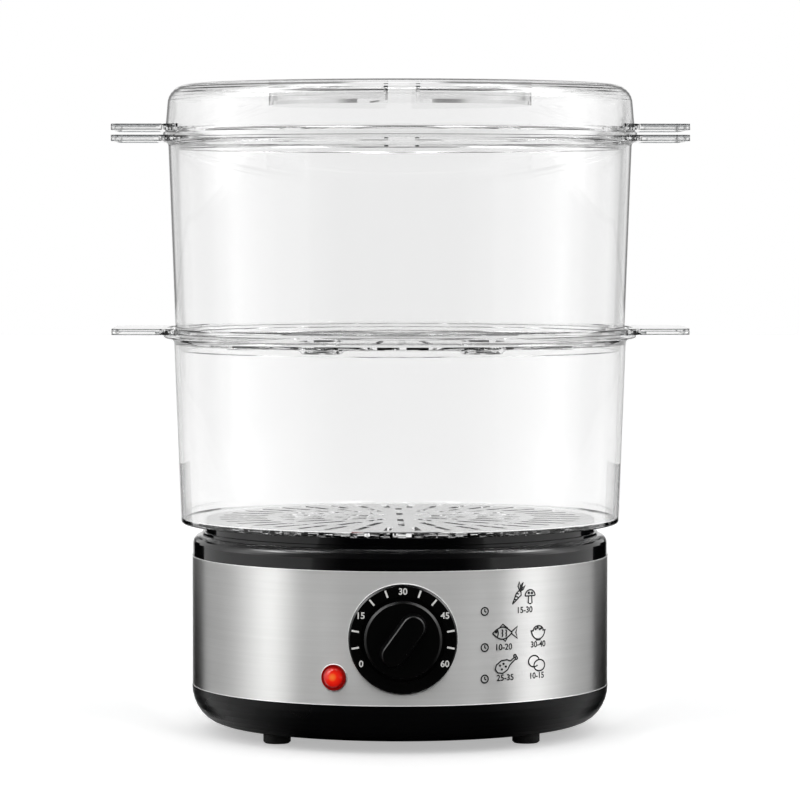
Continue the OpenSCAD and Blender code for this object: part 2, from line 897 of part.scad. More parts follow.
tube_gap = 50;        // degrees left open between the ends of the tube
terminal_turn = 12;   // degrees from the middle of that gap to an end
terminal_r = 2.2;
terminal_top = 3;     // length of a cold end below the block
terminal_h = 7;

module heater_element() {
    rib = tube_r * 0.8;
    color([0.7, 0.71, 0.72]) {
        translate([0, 0, block_z])
            cylinder(r = block_r, h = block_h);
        // Rib that holds the bent heating tube
        rotate(90 + tube_gap / 2)
            rotate_extrude(angle = 360 - tube_gap)
                polygon(concat(
                    [[tube_ring_r + rib, block_z + 1], [tube_ring_r - rib, block_z + 1]],
                    arc(tube_ring_r, block_z - tube_r * 0.6, rib, 180, 360)
                ));
        // Cold ends of the tube
        for (s = [-1, 1])
            rotate(90 + s * terminal_turn)
                translate([tube_ring_r, 0, block_z - terminal_top])
                    cylinder(r = terminal_r, h = terminal_top + 1, $fn = 32);
    }
}

module heater_terminals() {
    color(ceramic)
        for (s = [-1, 1])
            rotate(90 + s * terminal_turn)
                translate([tube_ring_r, 0, block_z - terminal_top - terminal_h]) {
                    cylinder(r = terminal_r + 0.4, h = terminal_h, $fn = 32);
                    translate([-0.4, -2.2, -6])
                        cube([0.8, 4.4, 6 + eps]);
                }
}

module thermostat() {
    body_r = 8;
    body_h = 9;
    z = block_z - body_h;
    color(ceramic) {
        translate([0, 0, z])
            cylinder(r = body_r, h = body_h, $fn = 64);
        translate([-3.5, -13, block_z - 1])
            cube([7, 26, 1]);
        for (s = [-1, 1])
            translate([s * 4 - 0.4, -2.4, z - 6])
                cube([0.8, 4.8, 6 + eps]);
    }
}

module thermal_fuse() {
    color([0.8, 0.78, 0.7])
        translate([12.2, 0, block_z - 2])
            rotate([90, 0, 0]) {
                translate([0, 0, -5])
                    cylinder(r = 2, h = 10, $fn = 32);
                translate([0, 0, -8])
                    cylinder(r = 0.5, h = 16, $fn = 24);
            }
}

// ---- Wiring parts on the bottom cover ----

module terminal_block() {
    size = [block_len, block_w, block_high];
    ways = 3;
    way_pitch = size.x / 3.2;
    color([0.88, 0.87, 0.82])
        translate([0, clamp_y - clamp_w / 2 - 14 - size.y / 2, cover_z + cover_t])
            difference() {
                translate([-size.x / 2, -size.y / 2, 0])
                    cube(size);
                for (i = [0:ways - 1])
                    translate([(i - (ways - 1) / 2) * way_pitch, 0, 0]) {
                        translate([0, size.y, size.z / 2])
                            rotate([90, 0, 0])
                                cylinder(r = 2, h = 2 * size.y, $fn = 32);
                        for (s = [-1, 1])
                            translate([0, s * 4.5, size.z / 2])
                                cylinder(r = 1.8, h = size.z, $fn = 32);
                    }
            }
}

module cord_gland() {
    flange = gland_flange;
    color(rubber)
        outwards(180, gland_z)
            translate([0, 0, gland_in - flange])
                rotate_extrude($fn = 64)
                    polygon([
                        [cord_r, 0],
                        [gland_flange_r, 0],
                        [gland_flange_r, flange],
                        [gland_r, flange],
                        [gland_r, flange + gland_face - gland_in],
                        [gland_r + 1.6, flange + gland_face - gland_in],
                        [gland_r + 1.6, 2 * flange + gland_face - gland_in - 0.8],
                        [gland_r + 0.8, 2 * flange + gland_face - gland_in],
                        [cord_r, 2 * flange + gland_face - gland_in]
                    ]);
}

module cord_clamp() {
    color(black)
        difference() {
            translate([-clamp_x - clamp_w / 2, clamp_y - clamp_w / 2, clamp_z])
                cube([2 * clamp_x + clamp_w, clamp_w, clamp_t]);
            translate([0, clamp_y + clamp_w, gland_z])
                rotate([90, 0, 0])
                    cylinder(r = cord_r, h = 2 * clamp_w, $fn = 48);
            for (s = [-1, 1])
                translate([s * clamp_x, clamp_y, clamp_z - 1])
                    cylinder(r = clamp_screw_r + 0.3, h = clamp_t + 2, $fn = 24);
        }
}

module clamp_screws() {
    color(zinc)
        for (s = [-1, 1])
            translate([s * clamp_x, clamp_y, clamp_z + clamp_t]) {
                difference() {
                    cylinder(r = 2.4, h = 1.8, $fn = 32);
                    translate([0, 0, 1.8])
                        cross_recess(2.8);
                }
                translate([0, 0, -clamp_t - clamp_screw_len + 0.5])
                    cylinder(r = clamp_screw_r, h = clamp_t + clamp_screw_len - 0.5 + eps, $fn = 24);
            }
}

// ---- Timer ----

timer_screw_x = 11;
timer_screw_r = 1.4;
timer_head_r = 2.7;
timer_head_h = 1.6;

module dial_plate() {
    screw_seat = recess_y - timer_head_h - 0.2;
    color(black)
        difference() {
            union() {
                // Disc, cut to the curve of the band behind it
                difference() {
                    outwards(0, dial_z)
                        translate([0, 0, base_r - 6])
                            rotate_extrude()
                                polygon([
                                    [0, 0],
                                    [dial_r, 0],
                                    [dial_r, dial_proud + 6 - 0.6],
                                    [dial_r - 0.6, dial_proud + 6],
                                    [0, dial_proud + 6]
                                ]);
                    cylinder(r = base_r, h = top_z);
                }
                outwards(0, dial_z)
                    translate([0, 0, case_front])
                        cylinder(r = sleeve_r, h = dial_front - case_front - 1);
            }
            outwards(0, dial_z) {
                // Recess for the knob
                translate([0, 0, recess_y])
                    cylinder(r = dial_recess_r, h = 10);
                // Hollow behind the face, with a hub and two screw bosses left
                difference() {
                    translate([0, 0, case_front - 1])
                        cylinder(r = sleeve_r - dial_t, h = recess_y - dial_t - case_front + 1);
                    cylinder(r = shaft_r + 3, h = dial_front);
                    for (s = [-1, 1])
                        translate([s * timer_screw_x, 0, 0])
                            cylinder(r = timer_head_r + 1.3, h = dial_front, $fn = 48);
                }
                cylinder(r = shaft_r + loose, h = dial_front + 1, $fn = 48);
                for (s = [-1, 1])
                    translate([s * timer_screw_x, 0, 0]) {
                        cylinder(r = timer_screw_r + 0.2, h = dial_front, $fn = 32);
                        translate([0, 0, screw_seat])
                            cylinder(r = timer_head_r + 0.2, h = 10, $fn = 48);
                    }
            }
        }
}

module timer_screws() {
    screw_seat = recess_y - timer_head_h - 0.2;
    end = case_front - case_t - 1.5;
    color(zinc)
        outwards(0, dial_z)
            for (s = [-1, 1])
                translate([s * timer_screw_x, 0, 0]) {
                    translate([0, 0, end])
                        cylinder(r = timer_screw_r, h = screw_seat - end + eps, $fn = 32);
                    translate([0, 0, screw_seat])
                        difference() {
                            cylinder(r = timer_head_r, h = timer_head_h, $fn = 48);
                            translate([0, 0, timer_head_h])
                                cross_recess(3);
                        }
                }
}

module timer_case() {
    w = case_w;
    color(zinc)
        outwards(0, dial_z)
            difference() {
                union() {
                    difference() {
                        translate([-w / 2, -w / 2, case_back])
                            cube([w, w, case_d]);
                        translate([case_t - w / 2, case_t - w / 2, case_back - 1])
                            cube([w - 2 * case_t, w - 2 * case_t, case_d - case_t + 1]);
                    }
                    // Bearing of the shaft
                    translate([0, 0, case_front - 5])
                        cylinder(r = shaft_r + 2.5, h = 4, $fn = 48);
                }
                translate([0, 0, case_back])
                    cylinder(r = shaft_r + fit, h = case_d + 1, $fn = 48);
                for (s = [-1, 1])
                    translate([s * timer_screw_x, 0, case_back])
                        cylinder(r = timer_screw_r + fit, h = case_d + 1, $fn = 32);
            }
}

module timer_back() {
    w = case_w;
    color(steel)
        outwards(0, dial_z)
            translate([-w / 2, -w / 2, case_back - back_t])
                cube([w, w, back_t]);
}

module timer_bell() {
    color(steel)
        outwards(0, dial_z)
            translate([0, 0, case_back - back_t - bell_h])
                rotate_extrude()
                    polygon([
                        [0, 0],
                        [bell_r - 2, 0],
                        [bell_r, 2],
                        [bell_r, bell_h - 1.2],
                        [bell_r - 1, bell_h - 1.2],
                        [bell_r - 1, 2.4],
                        [bell_r - 2.4, 1],
                        [2.5, 1],
                        [2.5, bell_h],
                        [0, bell_h]
                    ]);
}

module timer_barrel() {
    color([0.78, 0.66, 0.35])
        outwards(0, dial_z)
            translate([0, 0, case_front - barrel_back - barrel_h])
                difference() {
                    cylinder(r = barrel_r, h = barrel_h, $fn = 96);
                    translate([0, 0, -1])
                        cylinder(r = shaft_r + fit, h = barrel_h + 2, $fn = 48);
                }
}

module timer_shaft() {
    back = case_front - barrel_back - barrel_h - 2;
    color(steel)
        outwards(0, dial_z)
            translate([0, 0, back])
                cylinder(r = shaft_r, h = knob_front - back - 1, $fn = 48);
}

// Grip bar with round ends, which narrows towards its top
module knob_grip() {
    half = knob_grip_w / 2;
    straight = knob_grip_len - knob_grip_w;
    side = [
        [0, -1],
        [half + knob_grip_flare, -1],
        [half + knob_grip_flare, 0],
        [half, knob_grip_h - edge],
        [half - edge, knob_grip_h],
        [0, knob_grip_h]
    ];
    for (s = [-1, 1])
        translate([0, s * straight / 2, 0])
            rotate_extrude($fn = 64)
                polygon(side);
    translate([0, straight / 2, 0])
        rotate([90, 0, 0])
            linear_extrude(straight)
                for (s = [0, 1])
                    mirror([s, 0])
                        polygon(side);
}

module timer_knob() {
    color(gloss_black)
        outwards(0, dial_z)
            difference() {
                union() {
                    translate([0, 0, knob_back])
                        rotate_extrude()
                            polygon([
                                [0, 0],
                                [knob_r, 0],
                                [knob_r, knob_skirt - 1],
                                [knob_r - 1, knob_skirt],
                                [0, knob_skirt]
                            ]);
                    translate([0, 0, knob_front])
                        rotate(-knob_angle)
                            knob_grip();
                }
                translate([0, 0, knob_back - 1])
                    cylinder(r = shaft_r + fit, h = knob_skirt, $fn = 48);
            }
}

// ---- Indicator lamp ----

lamp_flange = 0.9;
lamp_in = 9;
lamp_t = 1;

module lamp_lens() {
    dome_r = (pow(lamp_r, 2) + pow(lamp_dome, 2)) / (2 * lamp_dome);
    dome_half = asin(lamp_r / dome_r);
    color([0.85, 0.08, 0.05, 0.8])
        difference() {
            union() {
                difference() {
                    outwards(lamp_angle, lamp_z)
                        translate([0, 0, base_r - 2])
                            cylinder(r = lamp_r + 0.9, h = 2 + lamp_flange);
                    cylinder(r = base_r, h = top_z);
                }
                outwards(lamp_angle, lamp_z)
                    translate([0, 0, base_r + lamp_flange])
                        rotate_extrude()
                            polygon(concat(
                                [[0, lamp_dome]],
                                [for (i = [1:arc_steps])
                                    let (a = dome_half * i / arc_steps)
                                    [dome_r * sin(a), dome_r * cos(a) - dome_r + lamp_dome]],
                                [[lamp_r, -lamp_in], [0, -lamp_in]]
                            ));
            }
            outwards(lamp_angle, lamp_z)
                translate([0, 0, base_r - lamp_in - 1])
                    cylinder(r = lamp_r - lamp_t, h = lamp_in + 1, $fn = 64);
        }
}

module lamp_bulb() {
    bulb_r = 1.8;
    color([0.95, 0.6, 0.4])
        outwards(lamp_angle, lamp_z)
            translate([0, 0, base_r - lamp_in]) {
                cylinder(r = lamp_r - lamp_t, h = 2, $fn = 64);
                cylinder(r = bulb_r, h = lamp_in - 2.6, $fn = 48);
                translate([0, 0, lamp_in - 2.6])
                    sphere(bulb_r, $fn = 48);
            }
}

module lamp_clip() {
    color(steel)
        outwards(lamp_angle, lamp_z)
            translate([0, 0, wall_in_r - 1.2])
                difference() {
                    cylinder(r = lamp_r + 2.6, h = 0.8);
                    translate([0, 0, -1])
                        cylinder(r = lamp_r + fit, h = 3);
                }
}

lid();
upper_basket();
lower_basket();
drip_tray();
steam_ring();
upper_housing();
water_tank();
steel_band();
bottom_cover();
rubber_feet();
cover_screws();
heater_plate();
heater_seal();
heater_element();
heater_terminals();
heater_bracket();
heater_nuts();
thermostat();
thermal_fuse();
terminal_block();
cord_gland();
cord_clamp();
clamp_screws();
dial_plate();
timer_case();
timer_back();
timer_bell();
timer_barrel();
timer_shaft();
timer_screws();
timer_knob();
lamp_lens();
lamp_bulb();
lamp_clip();
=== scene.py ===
import math

import bpy
import numpy as np
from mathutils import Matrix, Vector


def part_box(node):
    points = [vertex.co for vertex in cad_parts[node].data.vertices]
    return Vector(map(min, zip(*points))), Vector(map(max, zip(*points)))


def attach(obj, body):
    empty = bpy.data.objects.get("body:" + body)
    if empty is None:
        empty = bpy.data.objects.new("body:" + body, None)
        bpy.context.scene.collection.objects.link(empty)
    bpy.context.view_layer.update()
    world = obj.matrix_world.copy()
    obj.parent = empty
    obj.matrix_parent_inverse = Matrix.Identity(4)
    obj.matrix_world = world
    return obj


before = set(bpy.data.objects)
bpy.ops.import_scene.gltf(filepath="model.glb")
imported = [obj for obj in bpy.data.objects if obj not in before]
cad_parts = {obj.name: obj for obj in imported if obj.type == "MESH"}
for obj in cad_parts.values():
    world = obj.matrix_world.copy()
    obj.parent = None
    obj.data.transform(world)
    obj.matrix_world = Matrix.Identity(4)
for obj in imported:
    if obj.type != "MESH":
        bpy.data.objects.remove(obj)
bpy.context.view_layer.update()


# ---- Bottom cover, steam ring and rubber feet ----
# The cover and the ring in the tank are black polypropylene, moulded in a spark-eroded tool. The
# feet and the grommet of the cord are moulded rubber plugs, pushed through the cover.

def linear(code):
    """sRGB hex colour as linear RGBA: c / 12.92 below 0.04045, else ((c + 0.055) / 1.055) ^ 2.4."""
    srgb = np.array([int(code[i:i + 2], 16) / 255 for i in (1, 3, 5)])
    light = np.where(srgb <= 0.04045, srgb / 12.92, ((srgb + 0.055) / 1.055) ** 2.4)
    return (*light.tolist(), 1.0)


def add_node(tree, kind, sockets=None, **settings):
    """Adds a node. A socket's value is a constant, or the output that it is linked to."""
    node = tree.nodes.new(kind)
    for name, value in settings.items():
        setattr(node, name, value)
    for socket, value in (sockets or {}).items():
        if isinstance(value, bpy.types.NodeSocket):
            tree.links.new(value, node.inputs[socket])
        else:
            node.inputs[socket].default_value = value
    return node


def new_material(name, colour, **sockets):
    """A Principled material. Its other sockets are given by their names."""
    material = bpy.data.materials.new(name)
    material.use_nodes = True
    tree = material.node_tree
    tree.nodes.clear()
    named = {key.replace("_", " "): value for key, value in sockets.items()}
    shader = add_node(tree, "ShaderNodeBsdfPrincipled", {"Base Color": linear(colour), **named})
    add_node(tree, "ShaderNodeOutputMaterial", {"Surface": shader.outputs[0]})
    return material


def patterned(material, size, stretch=(1, 1, 1), detail=2.0, tint=None, gloss=None, depth=None):
    """Marks in a surface, about size metres across and drawn out along an axis by stretch: noise
    of the Object coordinates divided by size. As the noise goes from 0.3 to 0.7, the colour goes
    from the first tint to the second and the roughness from the first gloss to the second. The
    noise times depth, in metres, also raises the surface."""
    tree = material.node_tree
    shader = tree.nodes["Principled BSDF"]
    place = add_node(tree, "ShaderNodeTexCoord").outputs["Object"]
    scale = tuple(1 / (size * s) for s in stretch)
    spread = add_node(tree, "ShaderNodeMapping", {"Vector": place, "Scale": scale})
    marks = add_node(tree, "ShaderNodeTexNoise", {
        "Vector": spread.outputs[0], "Scale": 1.0, "Detail": detail}).outputs["Fac"]
    between = {"Value": marks, "From Min": 0.3, "From Max": 0.7}
    if tint:
        share = add_node(tree, "ShaderNodeMapRange", between)
        mix = add_node(tree, "ShaderNodeMix", {
            "Factor": share.outputs[0], "A": linear(tint[0]), "B": linear(tint[1])},
            data_type="RGBA")
        tree.links.new(mix.outputs["Result"], shader.inputs["Base Color"])
    if gloss:
        rough = add_node(tree, "ShaderNodeMapRange", {
            **between, "To Min": gloss[0], "To Max": gloss[1]})
        tree.links.new(rough.outputs[0], shader.inputs["Roughness"])
    if depth:
        bump = add_node(tree, "ShaderNodeBump", {
            "Height": marks, "Distance": depth, "Strength": 1.0})
        tree.links.new(bump.outputs[0], shader.inputs["Normal"])


def dress(material, *names):
    """Gives CAD nodes a finish."""
    for name in names:
        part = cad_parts[name]
        part.data.materials.clear()
        part.data.materials.append(material)


# Spark-eroded skin: even grain of 0.35 mm, and a low sheen that wanders a little
satin_black = new_material("polypropylene, moulded, satin black", "#070708",
                           IOR=1.49, Roughness=0.3, Specular_IOR_Level=0.25)
patterned(satin_black, 0.00035, detail=3.0, depth=0.00001)
patterned(satin_black, 0.03, gloss=(0.26, 0.34))
dress(satin_black, "bottom_cover", "steam_ring", "cord_clamp")

# Moulded rubber: matt, with a bloom that lightens it in patches of 4 mm
rubber = new_material("rubber, moulded, black", "#161616", IOR=1.52, Roughness=0.75)
patterned(rubber, 0.004, detail=4.0, tint=("#121212", "#1f1f1e"))
patterned(rubber, 0.0006, depth=0.00004)
dress(rubber, "rubber_feet", "cord_gland")


# ---- Screws, clips and timer works ----
# Screws, nuts, clamp ring and lamp clip are mild steel, zinc plated, and so is the stamped case
# of the timer. Its spring barrel is turned brass.

# Zinc plating: a soft bluish shine with spangle 2.5 mm across
zinc_steel = new_material("steel, zinc plated", "#a9adb0", Metallic=1.0, Roughness=0.32)
patterned(zinc_steel, 0.0025, detail=3.0, tint=("#989ca0", "#b6babc"), gloss=(0.26, 0.40))
patterned(zinc_steel, 0.0008, depth=0.00001)
dress(zinc_steel, "cover_screws", "heater_bracket", "heater_nuts", "clamp_screws", "timer_case",
      "timer_back", "timer_bell", "timer_screws", "timer_shaft", "lamp_clip")

# Turned brass: warm shine in rings 0.4 mm wide, as the tool left them
brass = new_material("brass, turned", "#b39a5e", Metallic=1.0, Roughness=0.28)
patterned(brass, 0.0004, stretch=(20, 1, 20), tint=("#a38a4f", "#c0a86b"), depth=0.00001)
dress(brass, "timer_barrel")


# ---- Heater and terminals ----
# A pressed stainless plate closes the tank's floor over a silicone ring. Below it are a cast
# aluminium block with the heating tube, its sleeved ends, the cut-out, the fuse and the terminals.

# Polished plate: bright, clouded in patches of 6 mm by the heat
plate_steel = new_material("stainless steel, pressed and polished", "#b9b7b2",
                           Metallic=1.0, Roughness=0.22)
patterned(plate_steel, 0.006, detail=3.0, tint=("#aaa7a0", "#c4c2bd"), gloss=(0.16, 0.32))
dress(plate_steel, "heater_plate")

# Silicone: dull red-brown with a dusty skin
silicone = new_material("silicone rubber, moulded, red-brown", "#8d3a26",
                        IOR=1.41, Roughness=0.55)
patterned(silicone, 0.005, tint=("#84341f", "#96422c"))
patterned(silicone, 0.0008, depth=0.00002)
dress(silicone, "heater_seal")

# Cast aluminium: pale grey, rough as the die left it, in grains of 1.5 mm
aluminium = new_material("aluminium, die cast", "#a5a7a8", Metallic=1.0, Roughness=0.5)
patterned(aluminium, 0.0015, detail=4.0, tint=("#93969a", "#b2b4b5"), depth=0.00006)
dress(aluminium, "heater_element")

# Steatite: chalky cream, unglazed
ceramic = new_material("steatite, pressed and fired", "#e4dfd3", IOR=1.6, Roughness=0.6)
patterned(ceramic, 0.002, tint=("#d9d3c5", "#ece8de"))
patterned(ceramic, 0.0005, depth=0.00002)
dress(ceramic, "heater_terminals", "thermostat", "thermal_fuse")

# Natural nylon: milky, and a little light goes through its skin
nylon = new_material("nylon, moulded, natural", "#dcd8ca", IOR=1.53, Roughness=0.42,
                     Subsurface_Weight=0.15, Subsurface_Scale=0.002)
patterned(nylon, 0.01, tint=("#d4cfbf", "#e2dfd3"))
patterned(nylon, 0.0006, depth=0.00002)
dress(nylon, "terminal_block")


# ---- Housing, water tank and drip tray ----
# All three are ABS, moulded in a polished tool. The tank hangs in the housing, and the tray lies
# on the housing's rim.

# Deep black with a wet gloss, a slight haze and the faintest orange peel, 6 mm across
gloss_black = new_material("ABS, moulded, gloss black", "#050506", IOR=1.5, Roughness=0.07)
patterned(gloss_black, 0.02, detail=3.0, gloss=(0.05, 0.11))
patterned(gloss_black, 0.006, detail=1.0, depth=0.000006)
dress(gloss_black, "upper_housing", "water_tank", "drip_tray")


# ---- Steel band ----
# A strip of 430 stainless steel, 0.5 mm thick, punched for the dial and the lamp, brushed along
# its length and rolled into a ring. Its cut edges are rounded and stay bright.

band_low, band_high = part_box("steel_band")
dial_low, dial_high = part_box("dial_plate")
lens_low, lens_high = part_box("lamp_lens")
band_r = band_high.x
dial_r = (dial_high.x - dial_low.x) / 2
dial_z = (dial_low.z + dial_high.z) / 2
lens_r = (lens_high.z - lens_low.z) / 2
lens_z = (lens_low.z + lens_high.z) / 2
LAMP_TURN = math.radians(-18.5)        # where the lamp is round the band, from its front
EDGE_R = 0.00016                       # radius of the rounded cut at the top and bottom
HOLE_EDGE_R = 0.00028                  # the same round the holes, where the sheet is drawn in
EDGE_SIDES = 8                         # faces round an edge


def joined(parts):
    """One mesh from several: points one after another, faces shifted by the points before."""
    starts = np.cumsum([0] + [len(points) for points, _ in parts])
    points = np.concatenate([points for points, _ in parts])
    faces = [np.add(face, start).tolist()
             for (_, group), start in zip(parts, starts) for face in group]
    return points, faces


def new_piece(name, points, faces, material, body):
    """A finished mesh object that rides on a body."""
    mesh = bpy.data.meshes.new(name)
    mesh.from_pydata(points.tolist(), [], faces)
    mesh.materials.append(material)
    piece = bpy.data.objects.new(name, mesh)
    bpy.context.scene.collection.objects.link(piece)
    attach(piece, body)
    return piece


def round_band(arc, height, lift=0.0):
    """Points over the face of the band, and their outward directions. Arc and height are those of
    the flat sheet, from its front: the turn is the arc over the band's radius."""
    turn = arc / band_r
    out = np.column_stack([np.sin(turn), -np.cos(turn), np.zeros_like(turn)])
    far = band_r + np.broadcast_to(lift, turn.shape)
    return out * far[:, None] + np.outer(height, (0, 0, 1)), out


def edge_line(path, out, radius):
    """Round bead along a closed path: at each point, a circle in the plane of the outward
    direction and of the cross product of the path's direction with it."""
    ahead = np.roll(path, -1, axis=0) - np.roll(path, 1, axis=0)
    ahead /= np.linalg.norm(ahead, axis=1, keepdims=True)
    beside = np.cross(ahead, out)
    t = np.arange(EDGE_SIDES) * 2 * math.pi / EDGE_SIDES
    ring = path[:, None] + radius * (out[:, None] * np.cos(t)[None, :, None]
                                     + beside[:, None] * np.sin(t)[None, :, None])
    n = len(path)
    i, k = np.meshgrid(np.arange(n), np.arange(EDGE_SIDES), indexing="ij")
    j, m = (i + 1) % n, (k + 1) % EDGE_SIDES
    corners = [EDGE_SIDES * i + k, EDGE_SIDES * i + m, EDGE_SIDES * j + m, EDGE_SIDES * j + k]
    return ring.reshape(-1, 3), np.stack(corners, axis=2).reshape(-1, 4)


# Scratches 0.22 mm wide and 35 mm long, which run level all the way round and stretch each
# reflection upright. The real ones are 0.05 mm wide, too fine to show
brushed_steel = new_material("stainless steel, brushed", "#cdcdcc", Metallic=1.0, Roughness=0.44,
                             Anisotropic=1.0, Anisotropic_Rotation=0.25)
tree = brushed_steel.node_tree
round_axis = add_node(tree, "ShaderNodeTangent", direction_type="RADIAL", axis="Z")
tree.links.new(round_axis.outputs[0], tree.nodes["Principled BSDF"].inputs["Tangent"])
patterned(brushed_steel, 0.00022, stretch=(160, 160, 1), gloss=(0.38, 0.5), depth=0.000001)
patterned(brushed_steel, 0.0016, stretch=(60, 60, 1), tint=("#cbcbca", "#cfcfce"))
dress(brushed_steel, "steel_band")

# Cut edge: brighter than the brushed face, as a fine line
cut_steel = new_material("stainless steel, cut edge", "#ebebea", Metallic=1.0, Roughness=0.45)
patterned(cut_steel, 0.001, tint=("#e6e6e5", "#f0f0ef"))
full = np.linspace(0, 2 * math.pi, 360, endpoint=False)
edges = [round_band(full * band_r, np.full_like(full, height))
         for height in (band_low.z + EDGE_R, band_high.z - EDGE_R)]
edges = [edge_line(path, out, EDGE_R) for path, out in edges]
for hole_arc, hole_z, hole_r in ((0, dial_z, dial_r), (band_r * LAMP_TURN, lens_z, lens_r)):
    path, out = round_band(hole_arc + np.cos(full) * (hole_r + HOLE_EDGE_R),
                           hole_z + np.sin(full) * (hole_r + HOLE_EDGE_R))
    edges.append(edge_line(path, out, HOLE_EDGE_R))
points, faces = joined(edges)
band_edges = new_piece("band_edges", points, faces, cut_steel, "base")


# ---- Cooking guide on the band ----
# Screen printed in black ink to the right of the dial: small signs with plain minutes under
# them, and a clock sign before each row.

INK_LIFT = 0.00003                     # the ink stands this far off what it is printed on
INK_THICK = 0.00004
LINE_W = 0.00062                       # width of a printed line
FIGURE_H = 0.0028                      # height of a printed figure
FIGURE_WEIGHT = 0.018                  # how much the figures are thickened, in font units


def solid_strip(line, width):
    """Flat strip along a polyline: each point is offset by half the width to both sides of the
    mean direction of its neighbours, at two heights, and the strip is closed round its section."""
    line = np.asarray(line, float)
    ahead = np.gradient(line, axis=0)
    ahead /= np.linalg.norm(ahead, axis=1, keepdims=True) + 1e-12
    side = np.stack([-ahead[:, 1], ahead[:, 0]], axis=1) * width / 2
    ring = np.stack([line + side, line - side, line - side, line + side], axis=1)
    height = np.broadcast_to([INK_THICK, INK_THICK, 0, 0], ring.shape[:2])
    points = np.concatenate([ring, height[..., None]], axis=2).reshape(-1, 3)
    n = len(line)
    i, k = np.meshgrid(np.arange(n - 1), np.arange(4), indexing="ij")
    a, b = 4 * i + k, 4 * i + (k + 1) % 4
    quads = np.stack([a, b, b + 4, a + 4], axis=2).reshape(-1, 4)
    ends = np.array([[3, 2, 1, 0], 4 * (n - 1) + np.array([0, 1, 2, 3])])
    return points, np.concatenate([quads, ends])


def lettering(text, height, centre):
    """Plain figures as a thin solid: the built-in font's outlines, extruded, scaled so that a
    figure has the height, and centred."""
    curve = bpy.data.curves.new("figures", "FONT")
    curve.body = text
    curve.align_x = curve.align_y = "CENTER"
    curve.extrude = 0.5
    curve.offset = FIGURE_WEIGHT
    maker = bpy.data.objects.new("figures", curve)
    bpy.context.scene.collection.objects.link(maker)
    bpy.context.view_layer.update()
    depsgraph = bpy.context.evaluated_depsgraph_get()
    mesh = bpy.data.meshes.new_from_object(maker.evaluated_get(depsgraph))
    points = np.zeros(len(mesh.vertices) * 3)
    mesh.vertices.foreach_get("co", points)
    points = points.reshape(-1, 3)
    faces = [tuple(p.vertices) for p in mesh.polygons]
    bpy.data.objects.remove(maker)
    bpy.data.curves.remove(curve)
    bpy.data.meshes.remove(mesh)
    low, high = points.min(axis=0), points.max(axis=0)
    scale = height / (high[1] - low[1])
    flat = (points[:, :2] - (low[:2] + high[:2]) / 2) * scale + centre
    level = (points[:, 2] > 0) * INK_THICK
    return np.column_stack([flat, level]), faces


def ellipse(centre, rx, ry, start=0, end=360, steps=40):
    """Points along an ellipse between two angles in degrees, counted from +X."""
    t = np.radians(np.linspace(start, end, steps))
    return np.column_stack([centre[0] + rx * np.cos(t), centre[1] + ry * np.sin(t)])


# Each sign is a list of lines, drawn in a square from -1 to 1
root_sign = [                          # tapered root with creases and three leaves
    [(-0.95, -0.85), (-0.55, 0.05), (-0.3, 0.24), (-0.1, 0.12), (-0.08, -0.12), (-0.95, -0.85)],
    [(-0.22, 0.2), (-0.4, 0.6), (-0.28, 0.98), (-0.16, 0.6), (-0.2, 0.2)],
    [(-0.2, 0.2), (-0.02, 0.5), (0.12, 0.92), (-0.06, 0.7), (-0.2, 0.2)],
    [(-0.16, 0.18), (0.14, 0.34), (0.34, 0.66), (0.04, 0.44), (-0.16, 0.18)],
    [(-0.62, -0.2), (-0.38, -0.3)],
    [(-0.5, 0.02), (-0.3, -0.04)],
    [(-0.74, -0.45), (-0.56, -0.5)],
]
mushroom_sign = [                      # cap with two spots, and stem
    ellipse((0.62, -0.2), 0.52, 0.5, 0, 180),
    [(0.1, -0.2), (1.14, -0.2)],
    [(0.46, -0.2), (0.42, -0.78), (0.62, -0.86), (0.82, -0.78), (0.78, -0.2)],
    ellipse((0.48, 0.04), 0.08, 0.06),
    ellipse((0.8, 0.02), 0.07, 0.06),
]
along = np.linspace(-1, 1, 24)
back = np.column_stack([along * 0.78 - 0.22, 0.42 * np.cos(along * math.pi / 2)])
fish_sign = [                          # back, belly, tail, fins, gill, eye and scales
    back,
    back * (1, -1),
    [(0.5, 0.06), (1.0, 0.42), (0.86, 0.0), (1.0, -0.42), (0.5, -0.06)],
    [(-0.45, 0.38), (-0.2, 0.62), (0.2, 0.32)],
    [(-0.2, -0.4), (0.0, -0.58), (0.16, -0.32)],
    ellipse((-0.86, 0.0), 0.3, 0.36, -55, 55, 12),
    ellipse((-0.72, 0.1), 0.045, 0.045),
    *[ellipse((x, y), 0.1, 0.12, -80, 80, 8)
      for x, y in ((-0.3, 0.12), (-0.3, -0.12), (0, 0.1), (0, -0.12))],
]
bowl_sign = [                          # bowl on its foot, heaped with grain
    ellipse((0, 0.12), 0.86, 0.86, 180, 360),
    [(-1.0, 0.12), (1.0, 0.12)],
    [(-0.32, -0.82), (0.32, -0.82)],
    ellipse((0, 0.12), 0.66, 0.46, 0, 180),
    *[ellipse((x, y), 0.07, 0.05)
      for x, y in ((-0.34, 0.26), (-0.08, 0.4), (0.2, 0.24), (0.4, 0.3))],
]
drumstick_sign = [                     # plump end, two sides of the bone, its knuckles, specks
    [(0.4, 0.3), (0.1, 0.42), (-0.4, 0.36), (-0.82, 0.06), (-0.92, -0.28), (-0.7, -0.55),
     (-0.25, -0.6), (0.15, -0.36), (0.36, 0.0), (0.54, 0.16)],
    [(0.4, 0.3), (0.78, 0.58)],
    [(0.54, 0.16), (0.88, 0.44)],
    ellipse((0.82, 0.66), 0.11, 0.11),
    ellipse((0.95, 0.5), 0.1, 0.1),
    *[ellipse((x, y), 0.05, 0.03)
      for x, y in ((-0.5, 0.0), (-0.2, 0.12), (-0.35, -0.3), (0.0, -0.1))],
]
